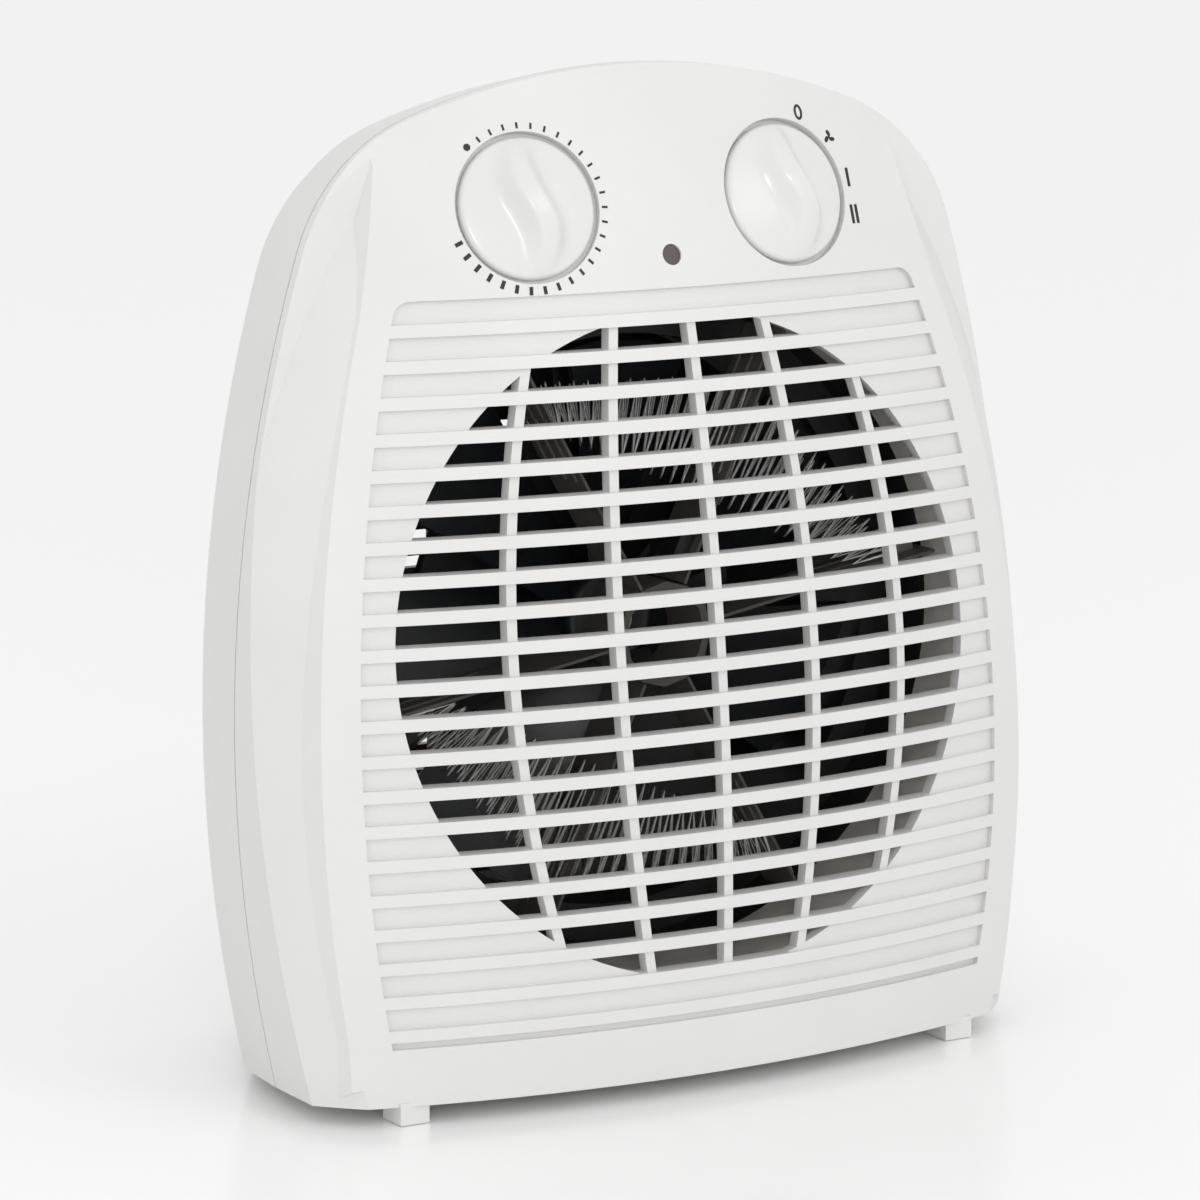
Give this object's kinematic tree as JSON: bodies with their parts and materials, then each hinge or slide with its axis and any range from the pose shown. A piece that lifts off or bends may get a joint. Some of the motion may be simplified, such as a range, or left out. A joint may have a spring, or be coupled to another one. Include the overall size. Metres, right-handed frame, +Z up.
{
  "type": "fan convector heater",
  "caption": "Upright fan convector heater: bowed two-part casing, round barred outlet grille, S-grip thermostat and selector knobs, wire elements, impeller and motor.",
  "frame": {"origin": "middle of the footprint box, on the surface the heater stands on", "axes": "+Z up, the outlet grille faces -Y, the right-hand side as its user sees it is +X"},
  "size_m": [0.23, 0.124, 0.261],
  "materials": {
    "casing_white": "satin",
    "knob_white": "gloss",
    "duct_metal": "satin",
    "mica": "matte",
    "heating_wire": "satin",
    "bright_terminal": "gloss",
    "black_plastic": "matte",
    "fan_dark": "matte",
    "clip_white": "matte",
    "steel": "satin",
    "core_steel": "matte",
    "aluminium": "satin",
    "bobbin": "matte",
    "copper": "satin",
    "bronze": "satin",
    "control_body": "matte",
    "lens_smoke": "gloss",
    "lamp": "gloss",
    "inlet_black": "matte"
  },
  "bodies": {
    "housing": {"front_cover": "casing_white", "rear_cover": "casing_white", "heater_duct": "duct_metal", "mica_arms": "mica", "mica_hub": "mica", "heating_element_upper": "heating_wire", "heating_element_lower": "heating_wire", "element_terminals": "bright_terminal", "thermal_cutout": "black_plastic", "fan_shroud": "black_plastic", "stator_core": "core_steel", "motor_bobbin": "bobbin", "motor_winding": "copper", "bearing_bracket_front": "steel", "bearing_bracket_rear": "steel", "motor_bearings": "bronze", "duct_screws": "steel", "case_screws": "steel", "motor_screws": "steel", "motor_nuts": "steel", "thermostat_nut": "steel", "thermostat_body": "control_body", "selector_nut": "steel", "selector_switch": "control_body", "indicator_lens": "lens_smoke", "indicator_lamp": "lamp", "terminal_block": "bobbin", "cord_inlet_bush": "inlet_black"},
    "thermostat_dial": {"thermostat_knob": "knob_white", "thermostat_shaft": "aluminium"},
    "selector_dial": {"selector_knob": "knob_white", "selector_shaft": "aluminium"},
    "fan_rotor": {"fan_impeller": "fan_dark", "fan_clip": "clip_white", "motor_shaft": "steel", "motor_rotor": "aluminium"}
  },
  "joints": [
    {"name": "thermostat_turn", "type": "hinge", "parent": "housing", "child": "thermostat_dial", "pos_m": [-0.0383, -0.03157, 0.227], "axis": [-0.1077, -0.9449, 0.309], "range_deg": [-240, 37]},
    {"name": "selector_turn", "type": "hinge", "parent": "housing", "child": "selector_dial", "pos_m": [0.0383, -0.03157, 0.227], "axis": [0.1077, -0.9449, 0.309], "range_deg": [-84, 0]},
    {"name": "fan_spin", "type": "hinge", "parent": "housing", "child": "fan_rotor", "pos_m": [0, 0, 0.115], "axis": [0, 1, 0], "continuous": true}
  ]
}
